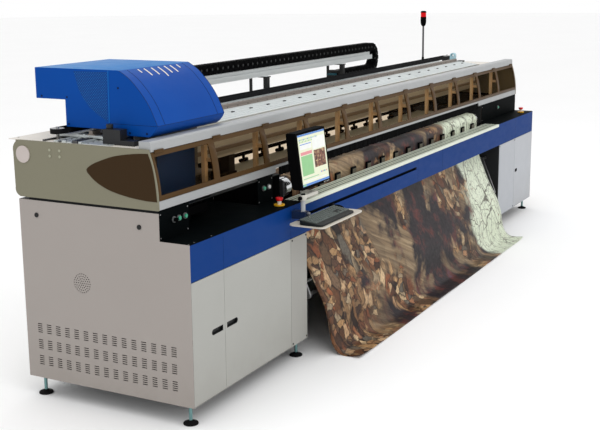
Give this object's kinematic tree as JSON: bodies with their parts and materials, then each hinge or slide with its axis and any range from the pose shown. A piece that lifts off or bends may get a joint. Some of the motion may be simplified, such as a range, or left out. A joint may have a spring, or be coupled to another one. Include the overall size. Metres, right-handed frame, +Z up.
{
  "type": "wide-format uv printer",
  "caption": "Roll-fed wide-format UV printer on two cabinets, with a tinted canopy, a travelling carriage, a cable chain, a hanging banner and an operator's monitor.",
  "frame": {"origin": "on the floor under the middle of the machine's bounding box", "axes": "+X along the machine to the operator's right, +Y from the front to the rear, +Z up"},
  "size_m": [5.72, 1.375, 1.835],
  "materials": {
    "cabinet_paint": "fine textured powder coat",
    "panel_paint": "fine textured powder coat",
    "blue_paint": "satin powder coat",
    "carriage_blue": "satin powder coat",
    "olive_paint": "satin powder coat",
    "brown_paint": "gloss paint",
    "warm_white_paint": "satin powder coat",
    "black_panel": "satin black",
    "aluminium": "brushed and anodised",
    "steel": "ground",
    "chrome": "polished",
    "black_plastic": "fine texture",
    "grey_plastic": "fine texture",
    "green_plastic": "gloss",
    "white_plastic": "gloss",
    "red_plastic": "gloss",
    "smoked_acrylic": "smoked bronze",
    "screen_glass": "anti-glare",
    "brush_bristle": "bristles",
    "belt_rubber": "toothed belt",
    "roller_rubber": "rubber-coated",
    "printed_vinyl": "printed banner vinyl",
    "translucent_tank": "moulded tank"
  },
  "bodies": {
    "frame": {"beam_end_brackets": "steel", "brush_curtain": "brush_bristle", "cabinet_shell": "cabinet_paint", "chain_lower_run": "black_plastic", "chain_tray": "aluminium", "control_bezels": "chrome", "drive_belt": "belt_rubber", "drive_motors": "black_plastic", "electronics_rack": "steel", "end_accents": "brown_paint", "end_caps": "white_plastic", "end_panels": "cabinet_paint", "front_fascia": "blue_paint", "guide_fingers": "black_plastic", "housing_ends": "olive_paint", "housing_trims": "aluminium", "ink_tanks": "translucent_tank", "keyboard_and_mouse": "black_plastic", "levelling_feet": "steel", "linear_rails": "steel", "monitor_stand": "grey_plastic", "print_beam": "aluminium", "printed_banner": "printed_vinyl", "rear_cover": "warm_white_paint", "recess_panels": "black_panel", "roller_brackets": "steel", "signal_lens": "red_plastic", "signal_tower": "black_plastic", "table_profile": "aluminium", "vacuum_platen": "aluminium"},
    "carriage": {"carriage_plate": "aluminium", "print_heads": "steel", "carriage_cover": "carriage_blue", "chain_upper_run": "black_plastic"},
    "chain_loop": {"chain_bend": "black_plastic"},
    "drive_pulley": {"drive_pulley": "aluminium"},
    "idler_pulley": {"idler_pulley": "aluminium"},
    "canopy": {"canopy_frame": "brown_paint", "canopy_glazing": "smoked_acrylic"},
    "narrow_door": {"narrow_door": "panel_paint"},
    "wide_door": {"wide_door": "panel_paint"},
    "right_door": {"right_door": "panel_paint"},
    "green_button_1": {"green_button_1": "green_plastic"},
    "green_button_2": {"green_button_2": "green_plastic"},
    "green_button_3": {"green_button_3": "green_plastic"},
    "green_button_4": {"green_button_4": "green_plastic"},
    "white_button": {"white_button": "white_plastic"},
    "selector": {"selector": "black_plastic"},
    "left_stop": {"left_stop_button": "red_plastic"},
    "right_stop": {"right_stop_button": "red_plastic"},
    "front_roller": {"front_roller": "aluminium"},
    "feed_roller": {"feed_roller": "roller_rubber"},
    "media_roll": {"media_roll": "printed_vinyl"},
    "pinch_bar": {"pinch_rollers": "roller_rubber"},
    "tension_bar": {"tension_bar": "black_panel"},
    "capping_station": {"capping_station": "steel"},
    "fan": {"fan_rotor": "black_plastic"},
    "monitor_arm": {"monitor_arm": "steel"},
    "monitor": {"monitor_case": "black_plastic", "monitor_screen": "screen_glass"}
  },
  "joints": [
    {"name": "carriage_slide", "type": "slide", "parent": "frame", "child": "carriage", "axis": [1, 0, 0], "range_m": [0, 4], "deforming": ["chain_upper_run"]},
    {"name": "chain_loop_slide", "type": "slide", "parent": "frame", "child": "chain_loop", "axis": [1, 0, 0], "range_m": [0, 2], "deforming": ["chain_lower_run"]},
    {"name": "drive_pulley_spin", "type": "hinge", "parent": "frame", "child": "drive_pulley", "pos_m": [-2.77, 0.4305, 1.39], "axis": [0, 0, 1], "continuous": true},
    {"name": "idler_pulley_spin", "type": "hinge", "parent": "frame", "child": "idler_pulley", "pos_m": [2.77, 0.4305, 1.39], "axis": [0, 0, 1], "continuous": true},
    {"name": "canopy_hinge", "type": "hinge", "parent": "frame", "child": "canopy", "pos_m": [0, -0.187, 1.341], "axis": [-1, 0, 0], "range_deg": [0, 30]},
    {"name": "narrow_door_hinge", "type": "hinge", "parent": "frame", "child": "narrow_door", "pos_m": [-2.84, -0.3835, 0.42], "axis": [0, 0, -1], "range_deg": [0, 105]},
    {"name": "wide_door_hinge", "type": "hinge", "parent": "frame", "child": "wide_door", "pos_m": [-1.868, -0.3835, 0.42], "axis": [0, 0, 1], "range_deg": [0, 105]},
    {"name": "right_door_hinge", "type": "hinge", "parent": "frame", "child": "right_door", "pos_m": [2.84, -0.3835, 0.42], "axis": [0, 0, 1], "range_deg": [0, 105]},
    {"name": "green_button_1_press", "type": "slide", "parent": "frame", "child": "green_button_1", "axis": [0, 1, 0], "range_m": [0, 0.003], "stiffness_N_per_m": 300, "springref_m": -0.002},
    {"name": "green_button_2_press", "type": "slide", "parent": "frame", "child": "green_button_2", "axis": [0, 1, 0], "range_m": [0, 0.003], "stiffness_N_per_m": 300, "springref_m": -0.002},
    {"name": "green_button_3_press", "type": "slide", "parent": "frame", "child": "green_button_3", "axis": [0, 1, 0], "range_m": [0, 0.003], "stiffness_N_per_m": 300, "springref_m": -0.002},
    {"name": "green_button_4_press", "type": "slide", "parent": "frame", "child": "green_button_4", "axis": [0, 1, 0], "range_m": [0, 0.003], "stiffness_N_per_m": 300, "springref_m": -0.002},
    {"name": "white_button_press", "type": "slide", "parent": "frame", "child": "white_button", "axis": [0, 1, 0], "range_m": [0, 0.003], "stiffness_N_per_m": 300, "springref_m": -0.002},
    {"name": "selector_turn", "type": "hinge", "parent": "frame", "child": "selector", "pos_m": [-2.729, -0.2275, 0.998], "axis": [0, -1, 0], "range_deg": [-45, 45]},
    {"name": "left_stop_press", "type": "slide", "parent": "frame", "child": "left_stop", "axis": [0, 0, -1], "range_m": [0, 0.005], "stiffness_N_per_m": 1000, "springref_m": -0.003},
    {"name": "right_stop_press", "type": "slide", "parent": "frame", "child": "right_stop", "axis": [0, 0, -1], "range_m": [0, 0.005], "stiffness_N_per_m": 1000, "springref_m": -0.003},
    {"name": "front_roller_spin", "type": "hinge", "parent": "frame", "child": "front_roller", "pos_m": [0, -0.2005, 0.962], "axis": [-1, 0, 0], "continuous": true},
    {"name": "feed_roller_spin", "type": "hinge", "parent": "frame", "child": "feed_roller", "pos_m": [0, 0.2625, 0.962], "axis": [-1, 0, 0], "continuous": true},
    {"name": "media_roll_spin", "type": "hinge", "parent": "frame", "child": "media_roll", "pos_m": [0.1, 0.4285, 0.43], "axis": [1, 0, 0], "continuous": true},
    {"name": "pinch_bar_lift", "type": "slide", "parent": "frame", "child": "pinch_bar", "axis": [0, 0, 1], "range_m": [0, 0.02]},
    {"name": "tension_bar_swing", "type": "hinge", "parent": "frame", "child": "tension_bar", "pos_m": [0.1, -0.2685, 0.615], "axis": [1, 0, 0], "range_deg": [0, 30]},
    {"name": "capping_lift", "type": "slide", "parent": "frame", "child": "capping_station", "axis": [0, 0, 1], "range_m": [0, 0.022]},
    {"name": "fan_spin", "type": "hinge", "parent": "frame", "child": "fan", "pos_m": [-2.834, 0.2585, 0.65], "axis": [1, 0, 0], "continuous": true},
    {"name": "monitor_arm_swivel", "type": "hinge", "parent": "frame", "child": "monitor_arm", "pos_m": [-1.827, -0.4475, 0.96], "axis": [0, 0, -1], "range_deg": [0, 90]},
    {"name": "monitor_tilt", "type": "hinge", "parent": "monitor_arm", "child": "monitor", "pos_m": [-1.671, -0.3635, 1.072], "axis": [-1, 0, 0], "range_deg": [-6, 6]}
  ],
  "couplings": [
    {"joint": "chain_loop_slide", "follows": "carriage_slide", "ratio": 0.5},
    {"joint": "drive_pulley_spin", "follows": "carriage_slide", "rad_per_m": 27.855},
    {"joint": "idler_pulley_spin", "follows": "carriage_slide", "rad_per_m": 27.855}
  ]
}
